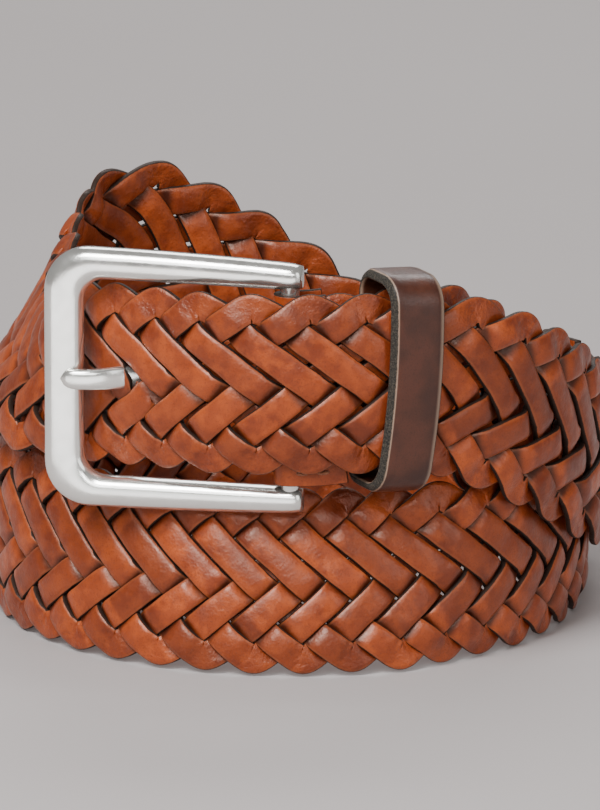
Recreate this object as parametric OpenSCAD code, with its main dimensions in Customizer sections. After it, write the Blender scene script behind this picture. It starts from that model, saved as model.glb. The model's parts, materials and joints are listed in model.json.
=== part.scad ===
// Braided leather belt, buckled and coiled into two turns that stand on edge.
// Frame: +Z up, floor at z = 0, origin under the middle of the coil, buckle facing -Y.
// Units are millimetres and degrees.

/* [Strap] */
// Width of the braided strap
strap_w = 35; // [33:0.5:36]
// Thickness of the braid, two strands thick
strap_t = 3.5; // [3:0.1:3.6]
// Half width of the coil from left to right, to the middle of the strap
coil_rx = 55.6; // [54:0.2:58]
// Half width of the coil from front to back, to the middle of the strap
coil_ry = 59.5; // [58:0.2:62]
// Angle between two sections of a swept strap
sweep_step = 4; // [3:1:6]

/* [Leather trim] */
// Thickness of the leather of the chape and of the tip tabs
tab_t = 1.2; // [1:0.1:1.3]
// Width of the chape, the tab that holds the buckle
chape_w = 36.4; // [34:0.2:37]
// Gap between a tab and the braid inside it
tab_gap = 0.15; // [0.1:0.05:0.3]
// Width of the keeper loop along the belt
keeper_w = 11; // [10:0.5:12]
// Thickness of the keeper's leather
keeper_t = 1.9; // [1.5:0.1:2]

/* [Stitching] */
// Length of one stitch
stitch_l = 2.4; // [1.8:0.1:3]
// Distance from one stitch to the next, in degrees round the coil
stitch_pitch = 3.2; // [3:0.1:4]
// Width of the thread
stitch_w = 0.8; // [0.5:0.1:1]
// Height of the thread above the leather
stitch_h = 0.45; // [0.3:0.05:0.6]

/* [Buckle] */
// Height of the frame at its far bar
frame_h = 50; // [49.6:0.1:52]
// Height of the frame at the hinge ends of its arms
frame_hinge_h = 47.8; // [47:0.2:49]
// Height of the window that the strap passes through
window_h = 38; // [37.6:0.1:38.4]
// Distance from the hinge bar to the middle of the far bar
frame_l = 43.7; // [43:0.1:44.5]
// Width of the far bar
bar_w = 7.5; // [7:0.1:8]
// Depth of the frame from front to back
frame_d = 3.4; // [3:0.1:3.5]
// Radius of the frame's outer corners at the far bar
corner_r = 8.6; // [7:0.1:10]
// Turn of the frame away from facing straight forward
frame_yaw = 14; // [13:0.5:15]
// Height of the hinge bar's middle above the floor
hinge_z = 55.5; // [55:0.1:56]
// Radius of the hinge bar
hinge_r = 1.75; // [1.6:0.05:1.8]

/* [Prong] */
// Width of the prong
prong_w = 4.3; // [4:0.1:4.5]
// Thickness of the prong
prong_t = 2.6; // [2.2:0.1:2.7]
// Length of the prong past the middle of the far bar
prong_over = 0; // [0:0.1:2]

/* [Hidden] */
$fn = 48;
coil_at = [-0.38, 2.49];
leather = "sienna";
dark_leather = "saddlebrown";
thread = "peru";
metal = "silver";
fit = 0.05;
notch_depth = 0.4;
notch_gap = 0.4;
hinge_turn = 0.6;
eye_r = hinge_r + fit + 1.4;
loop_r = hinge_r + fit + tab_t + 0.05;
prong_end = frame_l + prong_over;

// The belt's route: [angle along the belt, height of its middle, inward lean of its top edge,
// distance outward from the coil]. Angle 0 is the front, 90 the right side, and two turns are 720.
route = [
    [-4, 55.5, 0, -0.2], [6, 55.6, 0, -0.2], [14, 56.4, 0, -0.2], [21.5, 56.7, 0, -0.4],
    [28, 56.5, 0, -1.0], [36, 53.7, 0, -3.6], [44, 49.4, 0, -4.7], [54, 44.6, 0, -4.5],
    [90, 33.0, 0, -4.2], [135, 26.0, 0, -4.2], [180, 21.0, 0, -4.2], [210, 18.4, 0, -4.2],
    [228, 17.6, 0, -3.8], [240, 17.55, 0, -3.2], [252, 17.55, 0, -2], [270, 17.6, 0, -0.3],
    [305, 17.65, 8, -1.9], [335, 17.5, 13, -2.8], [362, 17.44, 15, -2.9], [381, 17.46, 15, -2.1],
    [389, 17.62, 7, -0.8], [396, 17.6, 0, 0.2], [408, 17.55, 0, 0.4], [425, 17.55, 0, 0.1],
    [470, 17.55, 0, 0], [485, 17.95, 0, 0], [505, 19.8, 0, 0], [528, 29.0, 0, 0],
    [540, 37.0, 0, 0], [551, 44.5, 2, 0], [573, 56.8, 8, 0], [587, 56.0, 16, -1.2],
    [600, 53.4, 25, -3], [615, 51.4, 32, -4.6], [630, 50.8, 35, -5.4], [645, 51.2, 31, -4.8],
    [658, 52.2, 21, -3], [672, 54.2, 7, -1.7], [682, 55.4, 1, -0.7], [692, 56.2, 0, 0.5],
    [701, 56.7, 0, 2.2], [710, 57.3, 0, 4.4], [720, 57.6, 0, 5.8], [735, 57.3, 0, 5.4],
    [741.5, 56.7, 0, 4.6], [748, 55.6, 0, 4.3], [755, 53.5, 0, 4.4], [763, 49.8, 0, 4.6],
    [779, 41.0, 0, 4.6], [790, 34.6, 0, 4.6], [800, 30.6, 0, 4.7], [820, 26.4, 0, 5.2],
    [838, 24.2, 0, 6.0], [872, 21.5, 0, 6.2]
];
strap_start = 5;
strap_end = 856;
chape_end = 9.2;
tip_start = 838;
tip_close = 857;
tip_round = 860;
tip_end = 870;
stitch_lift = 0.12;
keeper_turn = 21.5;
keeper_tilt = 2.5;
keeper_near = 0.5;
keeper_far = 2.8;
keeper_v = -0.2;
prong_turn = 689.5;
prong_hole = [18.5, 5.8, 14];
prong_hole_v = hinge_z - route_at(prong_turn)[1];

// Smooth curve through the route's stations, with slopes taken from each one's neighbours
function stretch_of(a, i = 0) =
    i + 2 >= len(route) || a < route[i + 1][0] ? i : stretch_of(a, i + 1);
function slope_at(i) =
    let (p = route[max(i - 1, 0)], q = route[min(i + 1, len(route) - 1)]) (q - p) / (q[0] - p[0]);
function route_at(a) =
    let (
        i = stretch_of(a), p = route[i], q = route[i + 1], h = q[0] - p[0], t = (a - p[0]) / h
    )
    (2 * t ^ 3 - 3 * t ^ 2 + 1) * p + (t ^ 3 - 2 * t ^ 2 + t) * h * slope_at(i)
    + (3 * t ^ 2 - 2 * t ^ 3) * q + (t ^ 3 - t ^ 2) * h * slope_at(i + 1);

// Middle of the strap, its direction, its width direction (up) and its outward normal
function unit(v) = v / norm(v);
function middle(a) =
    let (r = route_at(a))
    [coil_at[0] + (coil_rx + r[3]) * sin(a), coil_at[1] - (coil_ry + r[3]) * cos(a), r[1]];
function along(a) = unit(middle(a + 0.5) - middle(a - 0.5));
function level_out(a) = unit([sin(a) / coil_rx, -cos(a) / coil_ry, 0]);
function leaned_out(a) =
    let (lean = route_at(a)[2]) cos(lean) * level_out(a) + [0, 0, sin(lean)];
function across(a) = unit(cross(leaned_out(a), along(a)));
function outward(a) = cross(along(a), across(a));
function on_strap(a, v, w) = middle(a) + v * across(a) + w * outward(a);

// Puts its children on the belt at angle a: X along the belt, Y across it, Z outward
module at_strap(a, v = 0, w = 0) {
    t = along(a);
    u = across(a);
    n = outward(a);
    p = on_strap(a, v, w);
    multmatrix([
        [t[0], u[0], n[0], p[0]], [t[1], u[1], n[1], p[1]], [t[2], u[2], n[2], p[2]], [0, 0, 0, 1]
    ])
        children();
}

// Solid swept along the belt through rings of [angle, half width, inner level, outer level]
module swept(rings) {
    n = len(rings);
    points = [
        for (r = rings) each [
            on_strap(r[0], -r[1], r[2]), on_strap(r[0], r[1], r[2]),
            on_strap(r[0], r[1], r[3]), on_strap(r[0], -r[1], r[3])
        ]
    ];
    sides = [
        for (i = [0 : n - 2], k = [0 : 3])
            let (m = (k + 1) % 4) each [
                [4 * i + k, 4 * i + m, 4 * i + 4 + m], [4 * i + k, 4 * i + 4 + m, 4 * i + 4 + k]
            ]
    ];
    ends = [
        [0, 2, 1], [0, 3, 2], [4 * n - 4, 4 * n - 3, 4 * n - 2], [4 * n - 4, 4 * n - 2, 4 * n - 1]
    ];
    polyhedron(points = points, faces = [for (f = concat(sides, ends)) [f[0], f[2], f[1]]]);
}

// Angles from one end of a sweep to the other in equal steps
function steps(a, b) =
    let (count = ceil((b - a) / sweep_step)) [for (i = [0 : count]) a + (b - a) * i / count];

// The eight-strand braid as one soft band, open where the prong passes through it
module braided_strap() {
    color(leather)
        difference() {
            swept([for (a = steps(strap_start, strap_end)) [a, strap_w / 2, -strap_t / 2, strap_t / 2]]);
            at_strap(prong_turn, prong_hole_v)
                cube(prong_hole, center = true);
        }
}

// Hinge frame: X from the hinge towards the far bar, Y forward, Z up
module at_hinge() {
    translate([middle(hinge_turn)[0], middle(hinge_turn)[1], hinge_z])
        rotate([0, 0, 180 - frame_yaw])
            children();
}

module upright(r, h) {
    cylinder(r = r, h = h, center = true);
}

// Leather tab folded round the hinge bar, its two leaves closing on the end of the braid
module chape() {
    inner = strap_t / 2 + tab_gap;
    color(leather)
        difference() {
            union() {
                for (side = [-1, 1]) {
                    levels = side > 0 ? [inner, inner + tab_t] : [-inner - tab_t, -inner];
                    swept([
                        for (a = steps(hinge_turn, chape_end)) [a, chape_w / 2, levels[0], levels[1]]
                    ]);
                }
                at_hinge()
                    upright(loop_r, chape_w);
            }
            at_hinge()
                upright(hinge_r + fit, chape_w + 2);
            at_hinge()
                translate([-1.5, 0, 0])
                    cube([14, 12, prong_w + 1], center = true);
        }
}

// One stitch lying on a leather face, flat side down
module stitch() {
    linear_extrude(height = stitch_h)
        union() {
            square([stitch_l - stitch_w, stitch_w], center = true);
            for (end = [-1, 1])
                translate([end * (stitch_l - stitch_w) / 2, 0])
                    circle(d = stitch_w);
        }
}

// Row of stitches on both faces of a pair of tabs, at level v across the belt
module stitch_row(from, to, v, level) {
    for (a = [from : stitch_pitch : to]) {
        at_strap(a, v, level)
            stitch();
        at_strap(a, v, -level - stitch_h)
            stitch();
    }
}

module chape_stitching() {
    level = strap_t / 2 + tab_gap + tab_t + stitch_lift;
    color(thread)
        for (v = [-1, 1])
            stitch_row(2.6, chape_end - 1, v * (chape_w / 2 - 2.5), level);
}

// Half width of the tip tabs: full, then rounded off to the point
function tip_half(a) =
    a < tip_round ? strap_w / 2
    : max(1.5, strap_w / 2 * sqrt(max(0, 1 - ((a - tip_round) / (tip_end - tip_round)) ^ 2)));

// Inner level of a tip tab: beside the braid, then closing on the other tab past the braid's end
function tip_level(a) =
    let (open = strap_t / 2 + tab_gap, t = min(1, max(0, (a - tip_close) / 4)))
    open + (0.02 - open) * (3 * t ^ 2 - 2 * t ^ 3);

module tip_tab(side) {
    angles = concat(
        steps(tip_start, tip_close), [for (a = [tip_close + 1 : 1 : tip_end]) a]
    );
    swept([
        for (a = angles)
            let (near = tip_level(a), far = near + tab_t)
            [a, tip_half(a), side > 0 ? near : -far, side > 0 ? far : -near]
    ]);
}

module tip_front() {
    color(leather)
        tip_tab(1);
}

module tip_back() {
    color(leather)
        tip_tab(-1);
}

module tip_stitching() {
    level = strap_t / 2 + tab_gap + tab_t + stitch_lift;
    color(thread)
        for (v = [-1, 1])
            stitch_row(tip_start + 2, tip_close - 1, v * (strap_w / 2 - 2.5), level);
}

// Outline of the frame: round corners at the far bar, arms bowed out a little and squared at the end
module frame_outline() {
    far_x = frame_l + bar_w / 2;
    hull() {
        for (side = [-1, 1]) {
            translate([far_x - corner_r, side * (frame_h / 2 - corner_r)])
                circle(r = corner_r);
            translate([frame_l * 0.45, side * (frame_h / 2 - 1)])
                circle(r = 1);
            translate([-1.6, side * (frame_hinge_h / 2 - 0.7)])
                circle(r = 0.7);
        }
    }
}

// Window of the frame, open at the hinge end
module frame_window() {
    r = 4.5;
    x_far = frame_l - bar_w / 2;
    square([2 * (x_far - r), window_h], center = true);
    for (side = [-1, 1])
        translate([x_far - r, side * (window_h / 2 - r)])
            circle(r = r);
    translate([x_far - r, 0])
        square([2 * r, window_h - 2 * r], center = true);
}

module buckle_frame() {
    notch = prong_w + notch_gap;
    color(metal)
        at_hinge()
            difference() {
                rotate([90, 0, 0])
                    linear_extrude(height = frame_d, center = true)
                        difference() {
                            frame_outline();
                            frame_window();
                        }
                upright(hinge_r, frame_hinge_h - 3);
                translate([frame_l, frame_d / 2, 0])
                    cube([bar_w + 1, 2 * notch_depth, notch], center = true);
            }
}

module hinge_bar() {
    color(metal)
        at_hinge()
            upright(hinge_r, frame_hinge_h - 3);
}

// Flat rod from one point to another with round ends, in the plan of the prong
module rod(from, to) {
    hull() {
        translate(from)
            circle(d = prong_t);
        translate(to)
            circle(d = prong_t);
    }
}

// Prong: eye on the hinge bar, straight shank behind the strap, a step through it and a tip
module prong() {
    bend = [29.5, -2.6];
    step_out = [37, 2.6];
    tip = [prong_end - prong_t / 2, frame_d / 2 - notch_depth + 0.3 + prong_t / 2];
    color(metal)
        at_hinge()
            difference() {
                linear_extrude(height = prong_w, center = true)
                    union() {
                        circle(r = eye_r);
                        rod([1.5, 0], bend);
                        rod(bend, step_out);
                        rod(step_out, tip);
                    }
                upright(hinge_r + fit, prong_w + 2);
            }
}

module rounded_rect(w, h, r) {
    square([w, h - 2 * r], center = true);
    square([w - 2 * r, h], center = true);
    for (x = [-1, 1], y = [-1, 1])
        translate([x * (w / 2 - r), y * (h / 2 - r)])
            circle(r = r);
}

// Keeper: X inward, Y across the belt, extruded along the belt round both straps. It sits close
// on the outer strap and leaves room for the inner one, which curves away from it.
strap_gap = route_at(keeper_turn + 720)[3] - route_at(keeper_turn)[3];
keeper_depth = strap_gap + strap_t + keeper_near + keeper_far;
keeper_height = strap_w + 2.8;
keeper_level = strap_t / 2 + keeper_near - keeper_depth / 2;

module at_keeper() {
    at_strap(keeper_turn + 720, keeper_v, keeper_level)
        rotate([0, 0, keeper_tilt])
            rotate([0, 90, 0])
                children();
}

module keeper() {
    color(dark_leather)
        at_keeper()
            linear_extrude(height = keeper_w, center = true)
                difference() {
                    rounded_rect(keeper_depth + 2 * keeper_t, keeper_height + 2 * keeper_t, 4.2);
                    rounded_rect(keeper_depth, keeper_height, 1.2);
                }
}

// Crowns of the two staples that close the keeper, on its hidden side
module keeper_staples() {
    color(metal)
        at_keeper()
            for (x = [-1, 1])
                translate([keeper_depth / 2 + keeper_t + 0.32, 0, x * keeper_w / 4])
                    cube([0.6, 8, 1], center = true);
}

braided_strap();
chape();
chape_stitching();
tip_front();
tip_back();
tip_stitching();
buckle_frame();
hinge_bar();
prong();
keeper();
keeper_staples();
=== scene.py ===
"""Looks of a braided leather belt, coiled on edge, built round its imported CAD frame.

Shapes are worked out in millimetres and degrees, as in the CAD source, and become metres in
new_mesh(). The belt's route and its braid are repeated here, because the strands follow them.
"""

import json
import math

import bpy
import numpy as np
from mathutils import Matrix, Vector

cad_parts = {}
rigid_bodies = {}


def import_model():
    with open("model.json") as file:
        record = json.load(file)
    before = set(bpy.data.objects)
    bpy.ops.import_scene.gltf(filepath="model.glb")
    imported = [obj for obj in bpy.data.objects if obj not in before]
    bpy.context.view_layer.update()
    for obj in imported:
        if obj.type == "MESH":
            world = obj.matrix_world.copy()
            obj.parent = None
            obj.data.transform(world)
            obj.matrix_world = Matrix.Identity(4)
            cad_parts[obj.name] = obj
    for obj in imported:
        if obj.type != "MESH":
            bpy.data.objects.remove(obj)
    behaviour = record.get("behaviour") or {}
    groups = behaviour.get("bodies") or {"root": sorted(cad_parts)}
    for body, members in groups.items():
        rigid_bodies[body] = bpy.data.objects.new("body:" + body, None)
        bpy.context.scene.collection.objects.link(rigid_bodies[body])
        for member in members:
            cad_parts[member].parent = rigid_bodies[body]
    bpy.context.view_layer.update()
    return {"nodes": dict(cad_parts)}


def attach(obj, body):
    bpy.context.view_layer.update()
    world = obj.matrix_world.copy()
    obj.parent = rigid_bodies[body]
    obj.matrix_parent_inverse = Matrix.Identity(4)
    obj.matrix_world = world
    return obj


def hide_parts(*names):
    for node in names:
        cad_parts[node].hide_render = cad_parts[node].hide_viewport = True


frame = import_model()

MM = 0.001

# ---------------------------------------------------------------- sizes, in millimetres

COIL_AT = (-0.38, 2.49)
COIL_RX = 55.6
COIL_RY = 59.5
STRAP_T = 3.5
STRAP_START = 5.0
STRAP_END = 856.0

# The route's stations: angle along the belt, height, inward lean, distance outward from the coil
ROUTE = np.array([
    [-4, 55.5, 0, -0.2], [6, 55.6, 0, -0.2], [14, 56.4, 0, -0.2], [21.5, 56.7, 0, -0.4],
    [28, 56.5, 0, -1.0], [36, 53.7, 0, -3.6], [44, 49.4, 0, -4.7], [54, 44.6, 0, -4.5],
    [90, 33.0, 0, -4.2], [135, 26.0, 0, -4.2], [180, 21.0, 0, -4.2], [210, 18.4, 0, -4.2],
    [228, 17.6, 0, -3.8], [240, 17.55, 0, -3.2], [252, 17.55, 0, -2], [270, 17.6, 0, -0.3],
    [305, 17.65, 8, -1.9], [335, 17.5, 13, -2.8], [362, 17.44, 15, -2.9], [381, 17.46, 15, -2.1],
    [389, 17.62, 7, -0.8], [396, 17.6, 0, 0.2], [408, 17.55, 0, 0.4], [425, 17.55, 0, 0.1],
    [470, 17.55, 0, 0], [485, 17.95, 0, 0], [505, 19.8, 0, 0], [528, 29.0, 0, 0],
    [540, 37.0, 0, 0], [551, 44.5, 2, 0], [573, 56.8, 8, 0], [587, 56.0, 16, -1.2],
    [600, 53.4, 25, -3], [615, 51.4, 32, -4.6], [630, 50.8, 35, -5.4], [645, 51.2, 31, -4.8],
    [658, 52.2, 21, -3], [672, 54.2, 7, -1.7], [682, 55.4, 1, -0.7], [692, 56.2, 0, 0.5],
    [701, 56.7, 0, 2.2], [710, 57.3, 0, 4.4], [720, 57.6, 0, 5.8], [735, 57.3, 0, 5.4],
    [741.5, 56.7, 0, 4.6], [748, 55.6, 0, 4.3], [755, 53.5, 0, 4.4], [763, 49.8, 0, 4.6],
    [779, 41.0, 0, 4.6], [790, 34.6, 0, 4.6], [800, 30.6, 0, 4.7], [820, 26.4, 0, 5.2],
    [838, 24.2, 0, 6.0], [872, 21.5, 0, 6.2],
])

# The braid: eight strands whose crossings lie on a lattice of rows and of steps round the coil
STRANDS = 8
HALF_TURN = 8
PERIOD = 2 * HALF_TURN
STEP_DEG = 4.75
STEP_MM = 4.9
FOLD_AT = 686.0
ROW = 3.98
FOLD_ROUND = 0.36
STRAND_HALF = 2.8
STRAND_HALF_T = 0.7
STRAND_ROLL = 4.0
CROWN = 0.32
LEVEL = 0.88
# Which side of the braid a strand is on at each crossing from one top fold to the next
OVER_UNDER = (0, -1, 1, 1, 1, -1, -1, 1, 0, -1, 1, 1, -1, -1, -1, 1, 0)

# The buckle
HINGE_DEG = 0.6
HINGE_Z = 55.5
FRAME_YAW = 14.0
FRAME_H = 50.0
FRAME_HINGE_H = 47.8
WINDOW_H = 38.0
FRAME_L = 43.7
BAR_W = 7.5
FRAME_D = 3.4
FRAME_DOME = 0.9
CORNER_OUT = 8.6
CORNER_IN = 4.5
ARM_END = -2.3
PRONG_W = 4.3
HINGE_R = 1.75
PRONG_DEG = 688.0
PRONG_HALF_T = 1.3
PRONG_TIP = FRAME_D / 2 + 1.2
# The shank's middle: distance from the hinge, and how far forward it lies
PRONG_PATH = np.array([
    [0, 0.1], [10, -1.1], [20, -2.3], [28, -2.9],
    [31.5, -1.6], [36.2, 2.1], [39.5, 3.0], [FRAME_L, PRONG_TIP],
])

# The trim
TAB_T = 1.2
TAB_GAP = 0.15
CHAPE_W = 36.4
CHAPE_END = 9.2
TIP_START = 838.0
TIP_CLOSE = 857.0
TIP_ROUND = 860.0
TIP_END = 870.0
TIP_W = 35.0
STITCH_L = 2.4
STITCH_PITCH = 3.2
STITCH_INSET = 2.5
CHAPE_STITCH_START = 2.6
KEEPER_DEG = 741.5
KEEPER_TILT = 2.5
KEEPER_H = 37.8
KEEPER_V = -0.2
KEEPER_W = 11.0
KEEPER_T = 1.9
KEEPER_NEAR = 0.5
KEEPER_FAR = 2.8
KEEPER_GAP = 5.0
KEEPER_SKIVE = 1.1
KEEPER_CORNER = 4.4
STAPLE_HALF_L = 4
STAPLE_R = 0.42

# The section of a strip: points on each face, and how far its shoulders drop
SECTION_POINTS = 9
SECTION_SHOULDER = 0.82


# ---------------------------------------------------------------- the belt's route

def unit(v):
    return v / np.linalg.norm(v, axis=-1, keepdims=True)


def route_at(a):
    """Height, lean and outward distance at angles a, on a smooth curve through the stations."""
    x = ROUTE[:, 0]
    i = np.clip(np.searchsorted(x, a, side="right") - 1, 0, len(x) - 2)
    before = np.maximum(np.arange(len(x)) - 1, 0)
    after = np.minimum(np.arange(len(x)) + 1, len(x) - 1)
    slope = (ROUTE[after] - ROUTE[before]) / (x[after] - x[before])[:, None]
    h = (x[i + 1] - x[i])[:, None]
    t = ((a - x[i]) / h[:, 0])[:, None]
    p, q = ROUTE[i], ROUTE[i + 1]
    near = (2 * t**3 - 3 * t**2 + 1) * p + (t**3 - 2 * t**2 + t) * h * slope[i]
    far = (3 * t**2 - 2 * t**3) * q + (t**3 - t**2) * h * slope[i + 1]
    return (near + far)[:, 1:]


def middle(a):
    """Points on the strap's middle line at angles a."""
    height, _, out = route_at(a).T
    s, c = np.sin(np.radians(a)), np.cos(np.radians(a))
    return np.stack([COIL_AT[0] + (COIL_RX + out) * s, COIL_AT[1] - (COIL_RY + out) * c, height], 1)


def strap_frame(a):
    """Direction, width direction and outward normal of the strap at angles a."""
    t = unit(middle(a + 0.5) - middle(a - 0.5))
    r = np.radians(a)
    level = unit(np.stack([np.sin(r) / COIL_RX, -np.cos(r) / COIL_RY, 0 * r], 1))
    lean = np.radians(route_at(a)[:, 1])[:, None]
    leaned = np.cos(lean) * level + np.sin(lean) * np.array([0, 0, 1.0])
    across = unit(np.cross(leaned, t))
    return t, across, np.cross(t, across)


def on_strap(a, v, w):
    """Points at angles a, v across the belt and w outward from its middle."""
    a = np.atleast_1d(np.asarray(a, float))
    _, across, out = strap_frame(a)
    return middle(a) + np.reshape(v, (-1, 1)) * across + np.reshape(w, (-1, 1)) * out


def hinge_frame():
    """Hinge point and the axes from it: towards the far bar, forward, up."""
    x, y = middle(np.array([HINGE_DEG]))[0, :2]
    yaw = math.radians(FRAME_YAW)
    far = np.array([-math.cos(yaw), math.sin(yaw), 0])
    forward = np.array([-math.sin(yaw), -math.cos(yaw), 0])
    return np.array([x, y, HINGE_Z]), far, forward, np.array([0, 0, 1.0])


def at_hinge(points):
    """Points given in the hinge's axes, in the belt's frame."""
    origin, far, forward, up = hinge_frame()
    p = np.asarray(points, float)
    return origin + p[:, :1] * far + p[:, 1:2] * forward + p[:, 2:] * up


# ---------------------------------------------------------------- meshes

def new_mesh(name, points, faces, values=None):
    """Smooth mesh object from points in millimetres, with named values at its points."""
    mesh = bpy.data.meshes.new(name)
    mesh.from_pydata((np.asarray(points) * MM).tolist(), [], faces)
    for key, value in (values or {}).items():
        layer = mesh.attributes.new(key, "FLOAT", "POINT")
        layer.data.foreach_set("value", np.asarray(value, np.float32))
    mesh.shade_smooth()
    mesh.update()
    obj = bpy.data.objects.new(name, mesh)
    bpy.context.scene.collection.objects.link(obj)
    return obj


def tube_faces(rings, sides, closed=False, start=0):
    """Faces of a tube of rings with that many sides, capped at its ends unless it is closed."""
    count = rings if closed else rings - 1
    faces = []
    for i in range(count):
        j = (i + 1) % rings
        for k in range(sides):
            m = (k + 1) % sides
            faces.append([start + n for n in (i * sides + k, i * sides + m, j * sides + m, j * sides + k)])
    if not closed:
        last = (rings - 1) * sides
        faces.append([start + k for k in reversed(range(sides))])
        faces.append([start + last + k for k in range(sides)])
    return faces


def rounded_section(edge, dome):
    """Closed section of a flat strip as (across, through) from -1 to 1: edges rounded, front domed."""
    p = np.linspace(-edge, edge, SECTION_POINTS)
    flat = np.where(np.abs(p) > edge - 0.01, SECTION_SHOULDER, 1.0)
    back = -flat
    top = list(zip(p, flat + dome * (1 - p**2)))
    bottom = list(zip(p[::-1], back[::-1]))
    return np.array(top + [(1, 0.5), (1, -0.5)] + bottom + [(-1, -0.5), (-1, 0.5)])


# ---------------------------------------------------------------- materials

class Material:
    """Node material whose textures are in the object's own millimetres."""

    def __init__(self, name):
        self.material = bpy.data.materials.new(name)
        self.material.use_nodes = True
        tree = self.material.node_tree
        self.nodes, self.links = tree.nodes, tree.links
        self.shader = self.nodes["Principled BSDF"]
        coords = self.add("ShaderNodeTexCoord")
        self.place = self.add("ShaderNodeVectorMath", operation="SCALE")
        self.place.inputs["Scale"].default_value = 1 / MM
        self.links.new(coords.outputs["Object"], self.place.inputs[0])

    def add(self, kind, **settings):
        node = self.nodes.new(kind)
        for key, value in settings.items():
            setattr(node, key, value)
        return node

    def put(self, target, value):
        if isinstance(value, bpy.types.NodeSocket):
            self.links.new(value, target)
        else:
            target.default_value = value

    def noise(self, size, detail=3.0, rough=0.55, stretch=None):
        node = self.add("ShaderNodeTexNoise")
        source = self.place.outputs[0]
        if stretch:
            squeeze = self.add("ShaderNodeVectorMath", operation="MULTIPLY")
            self.links.new(source, squeeze.inputs[0])
            squeeze.inputs[1].default_value = stretch
            source = squeeze.outputs[0]
        self.links.new(source, node.inputs["Vector"])
        node.inputs["Scale"].default_value = 1 / size
        node.inputs["Detail"].default_value = detail
        node.inputs["Roughness"].default_value = rough
        return node.outputs["Fac"]

    def cells(self, size):
        node = self.add("ShaderNodeTexVoronoi", feature="SMOOTH_F1")
        self.links.new(self.place.outputs[0], node.inputs["Vector"])
        node.inputs["Scale"].default_value = 1 / size
        node.inputs["Smoothness"].default_value = 0.6
        return node.outputs["Distance"]

    def value(self, key):
        return self.add("ShaderNodeAttribute", attribute_name=key).outputs["Fac"]

    def spread(self, source, low, high, out_low=0.0, out_high=1.0):
        node = self.add("ShaderNodeMapRange", interpolation_type="SMOOTHSTEP")
        self.links.new(source, node.inputs["Value"])
        for key, number in zip(("From Min", "From Max", "To Min", "To Max"), (low, high, out_low, out_high)):
            node.inputs[key].default_value = number
        return node.outputs["Result"]

    def math(self, operation, a, b):
        node = self.add("ShaderNodeMath", operation=operation)
        self.put(node.inputs[0], a)
        self.put(node.inputs[1], b)
        return node.outputs[0]

    def mix(self, fac, a, b):
        node = self.add("ShaderNodeMix", data_type="RGBA")
        self.put(node.inputs["Factor"], fac)
        self.put(node.inputs["A"], a)
        self.put(node.inputs["B"], b)
        return node.outputs["Result"]

    def bump(self, height, distance, strength=1.0, below=None):
        node = self.add("ShaderNodeBump")
        self.put(node.inputs["Height"], height)
        node.inputs["Distance"].default_value = distance * MM
        node.inputs["Strength"].default_value = strength
        if below is not None:
            self.links.new(below, node.inputs["Normal"])
        return node.outputs["Normal"]

    def finish(self, **sockets):
        for key, value in sockets.items():
            self.put(self.shader.inputs[key.replace("_", " ")], value)
        return self.material


def srgb(r, g, b):
    """Linear colour from 0..255 display values."""
    c = np.array([r, g, b]) / 255
    linear = np.where(c <= 0.04045, c / 12.92, ((c + 0.055) / 1.055) ** 2.4)
    return (*linear.tolist(), 1.0)


def cognac_leather():
    """Smooth aniline calf: mottled cognac, fine grain, near-black raw edges with a paler rim, and painted
    shade where strands dive under.
    """
    m = Material("cognac_leather")
    mottle = m.spread(m.noise(9.0, 4.0), 0.36, 0.64)
    patch = m.spread(m.noise(3.2, 4.0), 0.4, 0.68)
    pores = m.spread(m.noise(0.33, 2.0), 0.52, 0.72)
    tone = m.value("tone")
    base = m.mix(mottle, srgb(124, 48, 20), srgb(158, 68, 28))
    base = m.mix(m.math("MULTIPLY", patch, 0.55), base, srgb(192, 88, 36))
    base = m.mix(m.spread(tone, 0.1, 0.9, 0.6, 0.0), base, srgb(84, 30, 13))
    base = m.mix(m.math("MULTIPLY", pores, 0.4), base, srgb(84, 34, 18))
    # Painted shade: strands darkened where they pass under a crossing strand.
    base = m.mix(m.math("MULTIPLY", m.spread(m.value("painted_dive_shade"), 0.1, 0.85), 0.85), base, srgb(40, 14, 7))
    edge = m.value("edge")
    rim = m.spread(edge, 0.12, 0.32)
    base = m.mix(m.math("MULTIPLY", rim, 0.2), base, srgb(170, 96, 54))
    cut = m.spread(m.math("ADD", edge, m.math("MULTIPLY", m.noise(0.5, 2.0), 0.35)), 0.62, 0.86)
    base = m.mix(cut, base, srgb(22, 9, 5))
    grain = m.math("ADD", m.cells(0.55), m.math("MULTIPLY", m.noise(0.22, 2.0), 0.5))
    creases = m.math("MULTIPLY", m.noise(1.5, 3.0, 0.6), m.value("fold"))
    normal = m.bump(creases, 0.55, 0.7)
    normal = m.bump(m.noise(3.5, 3.0), 0.4, 0.6, normal)
    normal = m.bump(grain, 0.06, 0.6, normal)
    rough = m.spread(m.noise(1.7, 3.0), 0.3, 0.7, 0.32, 0.46)
    rough = m.math("ADD", rough, m.math("MULTIPLY", cut, 0.4))
    return m.finish(Base_Color=base, Roughness=rough, Normal=normal, Specular_IOR_Level=0.6,
                    Specular_Tint=srgb(255, 222, 204), Coat_Weight=0.14, Coat_Roughness=0.28)


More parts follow.
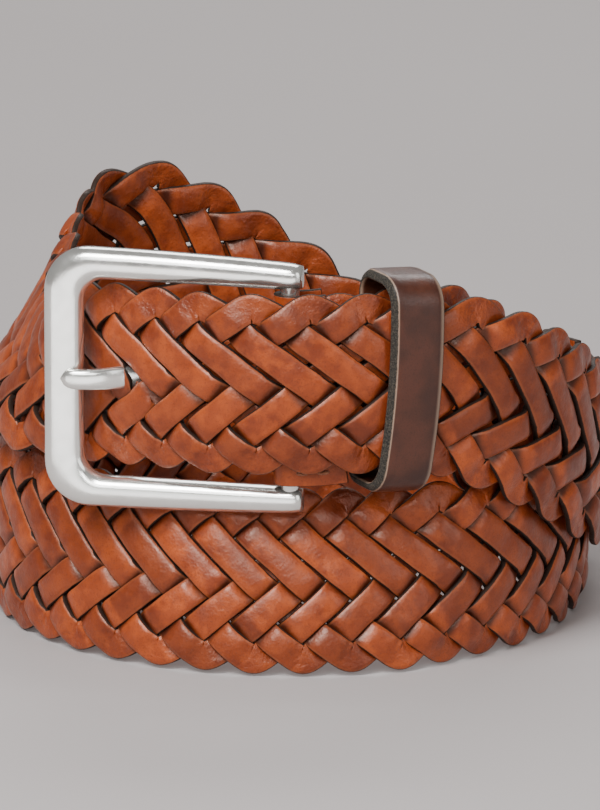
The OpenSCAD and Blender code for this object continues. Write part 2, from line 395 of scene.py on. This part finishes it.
def keeper_leather():
    """Dark-brown keeper leather with a thick, fibrous grey-black cut edge and a pale worn rim."""
    m = Material("keeper_leather")
    base = m.mix(m.spread(m.noise(9.0, 4.0), 0.35, 0.65), srgb(58, 27, 16), srgb(80, 40, 24))
    base = m.mix(m.math("MULTIPLY", m.spread(m.noise(0.3, 2.0), 0.52, 0.7), 0.4), base, srgb(38, 20, 14))
    edge = m.value("edge")
    base = m.mix(m.spread(edge, 0.15, 0.4, 0.0, 0.75), base, srgb(158, 132, 112))
    fibres = m.spread(m.noise(0.35, 4.0, 0.7), 0.35, 0.7)
    raw = m.mix(fibres, srgb(26, 24, 21), srgb(88, 80, 68))
    cut = m.spread(m.math("ADD", edge, m.math("MULTIPLY", m.noise(0.5, 2.0), 0.3)), 0.66, 0.85)
    base = m.mix(cut, base, raw)
    normal = m.bump(m.noise(6.0, 3.0), 0.2, 0.3)
    normal = m.bump(m.math("ADD", m.cells(0.5), m.noise(0.25, 2.0)), 0.045, 0.5, normal)
    normal = m.bump(m.math("MULTIPLY", fibres, cut), 0.3, 0.9, normal)
    rough = m.math("ADD", m.spread(m.noise(1.2, 3.0), 0.3, 0.7, 0.36, 0.48), m.math("MULTIPLY", cut, 0.45))
    return m.finish(Base_Color=base, Roughness=rough, Normal=normal, Specular_IOR_Level=0.5,
                    Coat_Weight=0.1, Coat_Roughness=0.3)


def satin_metal():
    """Satin nickel: bright, faintly brushed, with small scuffs."""
    m = Material("satin_metal")
    cloud = m.spread(m.noise(9.0, 3.0), 0.3, 0.7)
    base = m.mix(cloud, srgb(238, 238, 233), srgb(247, 247, 243))
    scuff = m.spread(m.noise(0.8, 5.0, 0.7), 0.56, 0.75)
    base = m.mix(m.math("MULTIPLY", scuff, 0.25), base, srgb(178, 180, 174))
    brushed = m.noise(0.35, 4.0, 0.65, stretch=(1.0, 1.0, 6.0))
    normal = m.bump(brushed, 0.02, 0.35)
    rough = m.spread(m.noise(2.2, 4.0), 0.3, 0.7, 0.15, 0.25)
    return m.finish(Base_Color=base, Metallic=0.92, Roughness=rough, Normal=normal)


def waxed_thread():
    """Twisted brown thread with a dull wax coat."""
    m = Material("waxed_thread")
    twist = m.spread(m.noise(0.28, 3.0), 0.3, 0.7)
    base = m.mix(twist, srgb(120, 66, 38), srgb(168, 104, 66))
    normal = m.bump(twist, 0.08, 0.7)
    return m.finish(Base_Color=base, Roughness=0.6, Normal=normal, Sheen_Weight=0.2)


# ---------------------------------------------------------------- braid

def wobble(x, seed, scale):
    """Smooth wander along a strand, from -1 to 1, the same on every run."""
    phase = seed * 2.399
    return (np.sin(x * scale + phase) + np.sin(x * scale * 2.37 + 1.7 * phase)
            + np.sin(x * scale * 5.11 + 2.9 * phase)) / 3


def strand_steps(start, end):
    """Places along a strand, counted in crossings from its first top fold, closer in the folds."""
    half = HALF_TURN / 2
    tight = 1.2
    one = np.concatenate([
        np.linspace(-half, -tight, 20)[:-1],
        np.linspace(-tight, tight, 35),
        np.linspace(tight, half, 20)[1:-1],
    ])
    first, last = math.floor(start / HALF_TURN), math.ceil(end / HALF_TURN)
    x = np.concatenate([one + HALF_TURN * n for n in range(first, last + 1)])
    return x[(x > start) & (x < end)]


def strand_level(y):
    """Which side of the braid a strand is on, y crossings after a top fold: 1 is outside."""
    sides = np.array(OVER_UNDER, float)
    i = np.floor(y).astype(int) % PERIOD
    f = np.clip((y - np.floor(y) - 0.14) / 0.72, 0, 1)
    ease = f * f * (3 - 2 * f)
    level = sides[i] + (sides[i + 1] - sides[i]) * ease
    humped = (sides[i] == sides[i + 1]) & (sides[i] != 0)
    return level + np.where(humped, 0.1 * sides[i] * np.sin(np.pi * (y - np.floor(y))), 0)


def part_for_prong(x, v, w):
    """Moves a strand aside where the prong slips through the braid, further on along the back."""
    centre_x = (PRONG_DEG - FOLD_AT) / STEP_DEG + np.where(w > 0, 0.0, 0.9)
    centre_v = -0.8
    dx, dv = (x - centre_x) * STEP_MM, v - centre_v
    reach = np.hypot(dx, dv)
    push = 2.6 * np.exp(-((reach / 4.2) ** 2))
    scale = push / np.maximum(reach, 0.3)
    return x + dx * scale * 0.4 / STEP_MM, v + dv * scale


def strand_sides(u, v, half):
    """Width left and right of a strand's middle at (u, v), less on the inside of a tight fold."""
    flat_u, flat_v = np.gradient(u), np.gradient(v)
    turn_u, turn_v = np.gradient(flat_u), np.gradient(flat_v)
    bend = (flat_u * turn_v - flat_v * turn_u) / np.maximum(np.hypot(flat_u, flat_v), 1e-6) ** 3
    room = 0.9 / np.maximum(np.abs(bend), 1e-6)
    left = np.where(bend > 0, np.minimum(half, room), half)
    right = np.where(bend < 0, np.minimum(half, room), half)
    return left, right


def strand(number):
    """One strand of the braid: a flat strip that folds back at each edge of the strap."""
    shift = 2 * number
    x = strand_steps((STRAP_START - FOLD_AT) / STEP_DEG - shift, (STRAP_END - FOLD_AT) / STEP_DEG - shift)
    fold = np.round(x / HALF_TURN)
    local = x - HALF_TURN * fold
    side = np.where(fold % 2 == 0, 1.0, -1.0)
    reach = math.hypot(HALF_TURN / 2, FOLD_ROUND)
    v = side * ROW * (reach - np.hypot(local, FOLD_ROUND))
    v = v + 0.16 * wobble(x, number + 1, 0.9)
    level = strand_level(x % PERIOD) + 0.06 * wobble(x, number + 11, 1.3)
    w = LEVEL * level
    along_x, v = part_for_prong(x + shift, v, w)
    a = FOLD_AT + STEP_DEG * along_x

    half = STRAND_HALF * (1 + 0.035 * wobble(x, number + 21, 0.7))
    left, right = strand_sides(along_x * STEP_MM, v, half)

    _, across, out = strap_frame(a)
    centre = middle(a) + v[:, None] * across + w[:, None] * out
    t = unit(np.gradient(centre, axis=0))
    normal = unit(out - np.sum(out * t, 1, keepdims=True) * t)
    lateral = np.cross(normal, t)
    near_fold = np.exp(-((local / 0.8) ** 2))
    roll = np.radians(9.0 * near_fold * side + STRAND_ROLL * np.clip(level, -1, 1) * side)
    lateral, normal = (np.cos(roll)[:, None] * lateral - np.sin(roll)[:, None] * normal,
                       np.sin(roll)[:, None] * lateral + np.cos(roll)[:, None] * normal)

    section = rounded_section(0.94, 0.0)
    p, q = section[:, 0], section[:, 1]
    wide = np.where(p > 0, left[:, None], right[:, None]) * p
    through = STRAND_HALF_T * q + CROWN * (1 - p**2) * np.clip(level, -1, 1)[:, None]
    pucker = near_fold[:, None] * np.clip(-p * side[:, None], 0, 1) * 0.12 * np.sin(local[:, None] * 17)
    points = (centre[:, None] + wide[:, :, None] * lateral[:, None]
              + (through + pucker)[:, :, None] * normal[:, None])
    rings, sides = len(x), len(p)
    edge = np.tile(np.where(np.abs(p) > 0.99, 1.0, np.where(np.abs(p) > 0.93, 0.42, 0.0)), rings)
    # Painted shade mask: strongest midway between over and under, fading out in the folds.
    painted_dive_shade = np.repeat(np.clip(1 - np.abs(level), 0, 1) * (1 - near_fold), sides)
    tone = np.repeat(0.5 + 0.5 * wobble(np.round(x / 4), number + 31, 2.1), sides)
    return new_mesh(
        f"strand_{number + 1}", points.reshape(-1, 3), tube_faces(rings, sides),
        {"edge": edge, "tone": tone, "fold": np.repeat(near_fold, sides), "painted_dive_shade": painted_dive_shade},
    )


# ---------------------------------------------------------------- buckle

def frame_rails():
    """Matching points on the frame's outer and inner outline, from arm end to arm end."""
    out_x, in_x = FRAME_L + BAR_W / 2 - CORNER_OUT, FRAME_L - BAR_W / 2 - CORNER_IN
    out_y, in_y = FRAME_H / 2, WINDOW_H / 2
    t = np.linspace(0, 1, 26)[:-1]
    bow = (out_y - FRAME_HINGE_H / 2) * (1 - t) ** 2
    outer = [(ARM_END + (out_x - ARM_END) * s, out_y - b) for s, b in zip(t, bow)]
    inner = [(ARM_END + (in_x - ARM_END) * s, in_y) for s in t]
    for angle in np.linspace(90, 0, 12):
        c, s = math.cos(math.radians(angle)), math.sin(math.radians(angle))
        outer.append((out_x + CORNER_OUT * c, out_y - CORNER_OUT + CORNER_OUT * s))
        inner.append((in_x + CORNER_IN * c, in_y - CORNER_IN + CORNER_IN * s))
    for s in np.linspace(1, 0, 11)[1:]:
        outer.append((out_x + CORNER_OUT, (out_y - CORNER_OUT) * s))
        inner.append((in_x + CORNER_IN, (in_y - CORNER_IN) * s))
    outer, inner = np.array(outer), np.array(inner)
    flip = np.array([1, -1])
    return np.vstack([outer, outer[-2::-1] * flip]), np.vstack([inner, inner[-2::-1] * flip])


def buckle_frame():
    """Satin frame: a domed bar bent to a U, its front rounded and its back flat."""
    outer, inner = frame_rails()
    sides = 28
    turn = np.linspace(0, 2 * np.pi, sides, endpoint=False)
    p = np.sign(np.cos(turn)) * np.abs(np.cos(turn)) ** 0.8
    q = np.sin(turn)
    q = np.where(q > 0, q, -np.abs(q) ** 0.45)
    depth = np.where(q > 0, FRAME_D / 2 + FRAME_DOME, FRAME_D / 2) * q
    rings = []
    count = len(outer)
    for i, (o, n) in enumerate(zip(outer, inner)):
        mid, half = (o + n) / 2, (o - n) / 2
        end = min(i, count - 1 - i)
        shrink = (0.86, 0.97, 1.0)[min(end, 2)]
        plan = mid + np.outer(p * shrink, half)
        rings.append(np.stack([plan[:, 0], depth * shrink, plan[:, 1]], 1))
    return new_mesh("buckle_frame_satin", at_hinge(np.vstack(rings)), tube_faces(count, sides))


def prong():
    """Prong: an eye round the hinge bar and a shank that steps through the braid to a soft tip."""
    x = np.linspace(2.2, FRAME_L, 60)
    y = np.interp(x, *PRONG_PATH.T)
    smooth = np.ones(7) / 7
    y = np.convolve(np.pad(y, 3, mode="edge"), smooth, "valid")
    y[-4:] = y[-5] - 0.05 * np.arange(4)
    left = FRAME_L - x
    slim = np.clip((x - 34) / 10, 0, 1)
    taper = np.sqrt(np.clip(1 - (1 - np.minimum(left, 2.6) / 2.6) ** 2, 0, 1))
    wide = (PRONG_W / 2 - 0.35 * slim) * np.maximum(taper, 0.12)
    deep = (PRONG_HALF_T - 0.15 * slim) * np.maximum(taper, 0.2) ** 0.8
    sides = 20
    turn = np.linspace(0, 2 * np.pi, sides, endpoint=False)
    p = np.sign(np.cos(turn)) * np.abs(np.cos(turn)) ** 0.7
    q = np.sign(np.sin(turn)) * np.abs(np.sin(turn)) ** 0.7
    points = [np.stack([np.full(sides, x[i]), y[i] + deep[i] * q, wide[i] * p], 1) for i in range(len(x))]
    faces = tube_faces(len(x), sides)
    start = len(x) * sides
    eye = 48
    profile = [(HINGE_R + 0.06, -1), (HINGE_R + 0.06, 1), (HINGE_R + 0.5, 1.1), (3.0, 1.0), (3.2, 0.86),
               (3.2, -0.86), (3.0, -1.0), (HINGE_R + 0.5, -1.1)]
    for angle in np.linspace(0, 2 * np.pi, eye, endpoint=False):
        points.append(np.array([[r * math.cos(angle), r * math.sin(angle), h * (PRONG_W / 2 - 0.2)]
                                for r, h in profile]))
    faces += tube_faces(eye, len(profile), closed=True, start=start)
    return new_mesh("prong_satin", at_hinge(np.vstack(points)), faces)


# ---------------------------------------------------------------- leather trim

def keeper_frame():
    """Directions of the keeper: along the belt, across it and outward."""
    along, across, out = (v[0] for v in strap_frame(np.array([KEEPER_DEG])))
    c, s = math.cos(math.radians(KEEPER_TILT)), math.sin(math.radians(KEEPER_TILT))
    return c * along + s * across, c * across - s * along, out


def keeper():
    """Keeper loop: a wide leather band bent round both straps, its cut edges thick and square."""
    depth = KEEPER_GAP + STRAP_T + KEEPER_NEAR + KEEPER_FAR + KEEPER_T
    height = KEEPER_H + KEEPER_T
    level = STRAP_T / 2 + KEEPER_NEAR - (depth - KEEPER_T) / 2
    path = []
    for cx, cy, first in ((1, 1, 0), (-1, 1, 90), (-1, -1, 180), (1, -1, 270)):
        for angle in np.linspace(first, first + 90, 9):
            c, s = math.cos(math.radians(angle)), math.sin(math.radians(angle))
            x = cx * (depth / 2 - KEEPER_CORNER) + KEEPER_CORNER * c
            y = cy * (height / 2 - KEEPER_CORNER) + KEEPER_CORNER * s
            path.append((x, y, c, s))
    path = np.array(path)
    dense = []
    for i in range(len(path)):
        a, b = path[i], path[(i + 1) % len(path)]
        parts = max(1, int(np.linalg.norm(b[:2] - a[:2]) / 2))
        dense += [a + (b - a) * n / parts for n in range(parts)]
    path = np.array(dense)
    section = rounded_section(0.95, 0.04)
    p, q = section[:, 0], section[:, 1]
    along, across, out = keeper_frame()
    origin = on_strap(KEEPER_DEG, KEEPER_V, level)[0]
    rings = []
    for x, y, nx, ny in path:
        bow = 0.5 * math.cos(math.pi * y / height) * max(0.0, nx)
        sway = -0.9 * (y / (height / 2)) ** 2
        thick = KEEPER_T / 2 * q
        plan_x = x + nx * thick + bow
        plan_y = y + ny * thick
        wide = KEEPER_W / 2 * p + sway + KEEPER_SKIVE * np.where(p < -0.9, (1 + q) / 2, 0)
        rings.append(origin + plan_x[:, None] * out + plan_y[:, None] * across + wide[:, None] * along)
    edge = np.tile(np.where(np.abs(p) > 0.99, 1.0, np.where(np.abs(p) > 0.94, 0.45, 0.0)), len(rings))
    faces = tube_faces(len(rings), len(p), closed=True)
    return new_mesh("keeper_band", np.vstack(rings), faces, {"edge": edge})


def sheet_solid(name, points, normals, keep):
    """Solid leather tab from a grid of mid points and their normals, without the cells not kept."""
    rows, cols = points.shape[:2]
    top = (points + normals * TAB_T / 2).reshape(-1, 3)
    bottom = (points - normals * TAB_T / 2).reshape(-1, 3)
    total = rows * cols
    faces = []

    def cell(i, j):
        return 0 <= i < rows - 1 and 0 <= j < cols - 1 and keep[i, j]

    for i in range(rows - 1):
        for j in range(cols - 1):
            if not keep[i, j]:
                continue
            a, b, c, d = i * cols + j, i * cols + j + 1, (i + 1) * cols + j + 1, (i + 1) * cols + j
            faces.append([a, b, c, d])
            faces.append([total + n for n in (d, c, b, a)])
            for missing, m, n in ((not cell(i - 1, j), b, a), (not cell(i + 1, j), d, c),
                                  (not cell(i, j - 1), a, d), (not cell(i, j + 1), c, b)):
                if missing:
                    faces.append([m, n, total + n, total + m])
    used = sorted({n for f in faces for n in f})
    index = {n: i for i, n in enumerate(used)}
    rim = np.zeros(2 * total)
    for i in range(rows):
        for j in range(cols):
            if not (cell(i, j) and cell(i - 1, j) and cell(i, j - 1) and cell(i - 1, j - 1)):
                rim[i * cols + j] = rim[total + i * cols + j] = 0.9
    cloud = np.vstack([top, bottom])[used]
    none = np.zeros(len(used))
    return new_mesh(
        name, cloud, [[index[n] for n in f] for f in faces],
        {"edge": rim[used], "tone": none + 0.7, "fold": none, "painted_dive_shade": none},
    )


def fine_rows(half, edge=0.18, count=20):
    """Places across a tab, with a narrow strip at each edge for its dark cut."""
    inner = np.linspace(-half + edge, half - edge, count)
    return np.concatenate([[-half], inner, [half]])


def chape():
    """Tab folded round the hinge bar: outer leaf, loop and inner leaf, slotted for the prong."""
    level = STRAP_T / 2 + TAB_GAP + TAB_T / 2
    leaf = np.linspace(CHAPE_END, HINGE_DEG + 0.4, 18)
    slot = PRONG_W / 2 + 0.5
    across_at = np.unique(np.concatenate([fine_rows(CHAPE_W / 2), [-slot, slot]]))
    points, normals = [], []
    for a in leaf:
        _, across, out = (v[0] for v in strap_frame(np.array([a])))
        points.append(on_strap(np.full(len(across_at), a), across_at, np.full(len(across_at), level)))
        normals.append(np.tile(out, (len(across_at), 1)))
    origin, _, _, _ = hinge_frame()
    for angle in np.linspace(90, 270, 19)[1:-1]:
        c, s = math.cos(math.radians(angle)), math.sin(math.radians(angle))
        out = np.array([c, -s, 0])
        ring = origin + level * out
        points.append(np.array([ring + np.array([0, 0, v]) for v in across_at]))
        normals.append(np.tile(out, (len(across_at), 1)))
    for a in leaf[::-1]:
        _, across, out = (v[0] for v in strap_frame(np.array([a])))
        points.append(on_strap(np.full(len(across_at), a), across_at, np.full(len(across_at), -level)))
        normals.append(np.tile(-out, (len(across_at), 1)))
    points, normals = np.array(points), np.array(normals)
    rows, cols = points.shape[:2]
    keep = np.ones((rows - 1, cols - 1), bool)
    centre = (across_at[:-1] + across_at[1:]) / 2
    near = np.arange(rows - 1)
    in_slot = (near >= 9) & (near < rows - 10)
    keep[np.ix_(in_slot, np.abs(centre) < slot)] = False
    return sheet_solid("chape_tab", points, normals, keep)


def tip_half(a):
    """Half width of the tip's tabs: full, then rounded off to the point."""
    past = max(0.0, (a - TIP_ROUND) / (TIP_END - TIP_ROUND))
    return max(1.5, TIP_W / 2 * math.sqrt(max(0.0, 1 - past**2)))


def tip_level(a):
    """Inner level of a tip tab: beside the braid, then closing on the other tab past its end."""
    open_level = STRAP_T / 2 + TAB_GAP
    t = min(1.0, max(0.0, (a - TIP_CLOSE) / 4))
    return open_level + (0.02 - open_level) * (3 * t**2 - 2 * t**3)


def tip_tab(name, side):
    """One leather tab of the tip: side 1 is outside, -1 inside."""
    angles = np.concatenate([np.linspace(TIP_START, TIP_CLOSE, 16), np.linspace(TIP_CLOSE, TIP_END, 22)[1:]])
    points, normals = [], []
    for a in angles:
        row = fine_rows(tip_half(a))
        level = side * (tip_level(a) + TAB_T / 2)
        out = strap_frame(np.array([a]))[2][0]
        points.append(on_strap(np.full(len(row), a), row, np.full(len(row), level)))
        normals.append(np.tile(side * out, (len(row), 1)))
    points, normals = np.array(points), np.array(normals)
    if side < 0:
        points, normals = points[:, ::-1], normals[:, ::-1]
    keep = np.ones((points.shape[0] - 1, points.shape[1] - 1), bool)
    return sheet_solid(name, points, normals, keep)


def stitches(name, first, last, row):
    """Waxed stitches on both faces of a pair of tabs, each a short thread dipping at its ends."""
    level = STRAP_T / 2 + TAB_GAP + TAB_T
    sides, rings = 10, 9
    points, faces = [], []
    for v in (-row, row):
        for a in np.arange(first, last + 0.01, STITCH_PITCH):
            for side in (1, -1):
                t, across, out = (n[0] for n in strap_frame(np.array([a])))
                origin = on_strap(a, v, side * level)[0]
                start = sum(len(p) for p in points)
                for s in np.linspace(-1, 1, rings):
                    thick = 0.36 * math.sqrt(max(0.05, 1 - abs(s) ** 4))
                    lift = side * (0.3 - 0.28 * s * s)
                    centre = origin + t * s * STITCH_L / 2 + out * lift
                    turn = np.linspace(0, 2 * np.pi, sides, endpoint=False)
                    circle = np.outer(np.cos(turn), across) + np.outer(np.sin(turn), out)
                    points.append(centre + thick * circle)
                faces += tube_faces(rings, sides, start=start)
    return new_mesh(name, np.vstack(points), faces)


def staples():
    """Two wire staple crowns pressed into the keeper's hidden side."""
    depth = KEEPER_GAP + STRAP_T + KEEPER_NEAR + KEEPER_FAR
    level = STRAP_T / 2 + KEEPER_NEAR - depth - KEEPER_T
    along, across, out = keeper_frame()
    origin = on_strap(KEEPER_DEG, KEEPER_V, level - 0.2)[0]
    sides = 12
    turn = np.linspace(0, 2 * np.pi, sides, endpoint=False)
    points, faces = [], []
    for x in (-1, 1):
        start = sum(len(p) for p in points)
        places = np.linspace(-STAPLE_HALF_L, STAPLE_HALF_L, 15)
        for y in places:
            sink = 0.5 * (abs(y) / STAPLE_HALF_L) ** 6
            centre = origin + y * across + sink * out + x * KEEPER_W / 4 * along
            points.append(centre + STAPLE_R * (np.outer(np.cos(turn), along) + np.outer(np.sin(turn), out)))
        faces += tube_faces(len(places), sides, start=start)
    return new_mesh("staple_wires", np.vstack(points), faces)


# ---------------------------------------------------------------- stage

CAMERA_AIM = (2.0, 0.0, 37.9)
CAMERA_LIFT = 14.2
# A lens over about 1270 mm puts other views so far back that their clipping hides the belt
CAMERA_LENS = 1000
CAMERA_AWAY = 3.175


def camera_and_light():
    """Long lens and soft light all round. Returns the set of pieces that the card lights."""
    aim = Vector(CAMERA_AIM) * MM
    lift = math.radians(CAMERA_LIFT)
    away = Vector((0, -math.cos(lift), math.sin(lift)))
    lens = bpy.data.cameras.new("camera")
    lens.sensor_fit = "HORIZONTAL"
    lens.sensor_width = 36
    lens.lens = CAMERA_LENS
    camera = bpy.data.objects.new("camera", lens)
    camera.location = aim + away * CAMERA_AWAY
    camera.rotation_euler = (-away).to_track_quat("-Z", "Y").to_euler()
    bpy.context.scene.collection.objects.link(camera)
    bpy.context.scene.camera = camera

    def softbox(name, place, size, power):
        light = bpy.data.lights.new(name, "AREA")
        light.shape = "RECTANGLE"
        light.size, light.size_y = size
        light.energy = power
        lamp = bpy.data.objects.new(name, light)
        lamp.location = place
        lamp.rotation_euler = (aim - Vector(place)).to_track_quat("-Z", "Y").to_euler()
        bpy.context.scene.collection.objects.link(lamp)
        return lamp

    softbox("key", (-0.35, -0.55, 0.75), (0.4, 0.4), 11.0)
    softbox("strip", (-0.15, -0.95, 0.5), (0.9, 0.18), 4.5)
    softbox("fill", (0.75, -0.6, 0.35), (0.4, 0.6), 1.8)
    softbox("rim", (0.1, 0.7, 0.7), (0.7, 0.4), 5.0)
    card = softbox("card", (-0.06, -0.17, 0.02), (0.3, 0.075), 0.125)
    card.visible_camera = False
    card.light_linking.receiver_collection = bpy.data.collections.new("lit_by_card")
    world = bpy.data.worlds.new("studio")
    world.use_nodes = True
    world.node_tree.nodes["Background"].inputs["Color"].default_value = srgb(214, 211, 208)
    world.node_tree.nodes["Background"].inputs["Strength"].default_value = 0.36
    bpy.context.scene.world = world
    return card.light_linking.receiver_collection.objects


def floor():
    """Wide pale floor just under the belt."""
    side = 3.0 / MM
    points = [(-side, -side, -0.05), (side, -side, -0.05), (side, side, -0.05), (-side, side, -0.05)]
    plane = new_mesh("floor", points, [[0, 1, 2, 3]])
    m = Material("pale_floor")
    tint = m.mix(m.spread(m.noise(300.0), 0.3, 0.7), srgb(177, 170, 169), srgb(180, 174, 173))
    plane.data.materials.append(m.finish(Base_Color=tint, Roughness=0.9))


# ---------------------------------------------------------------- assembly

mirrored = camera_and_light()
floor()

cognac, dark, metal, thread = cognac_leather(), keeper_leather(), satin_metal(), waxed_thread()


def place(piece, body, node, slot, material):
    """Gives a piece its material, ties it to its body and hides the CAD node it stands in for. The slot is
    not used.
    """
    piece.data.materials.append(material)
    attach(piece, body)
    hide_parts(node)


for number in range(STRANDS):
    place(strand(number), "belt", "braided_strap", "belt_leather", cognac)
place(chape(), "belt", "chape", "belt_leather", cognac)
place(tip_tab("tip_front_tab", 1), "belt", "tip_front", "belt_leather", cognac)
place(tip_tab("tip_back_tab", -1), "belt", "tip_back", "belt_leather", cognac)
chape_row = stitches("chape_stitches", CHAPE_STITCH_START, CHAPE_END - 1, CHAPE_W / 2 - STITCH_INSET)
place(chape_row, "belt", "chape_stitching", "thread", thread)
tip_row = stitches("tip_stitches", TIP_START + 2, TIP_CLOSE - 1, TIP_W / 2 - STITCH_INSET)
place(tip_row, "belt", "tip_stitching", "thread", thread)
for piece, body, node in ((buckle_frame(), "buckle", "buckle_frame"), (prong(), "tongue", "prong")):
    place(piece, body, node, "buckle_metal", metal)
    mirrored.link(piece)
place(keeper(), "loop", "keeper", "keeper_leather", dark)
place(staples(), "loop", "keeper_staples", "buckle_metal", metal)
bar = frame["nodes"]["hinge_bar"]
bar.data.materials.clear()
bar.data.materials.append(metal)
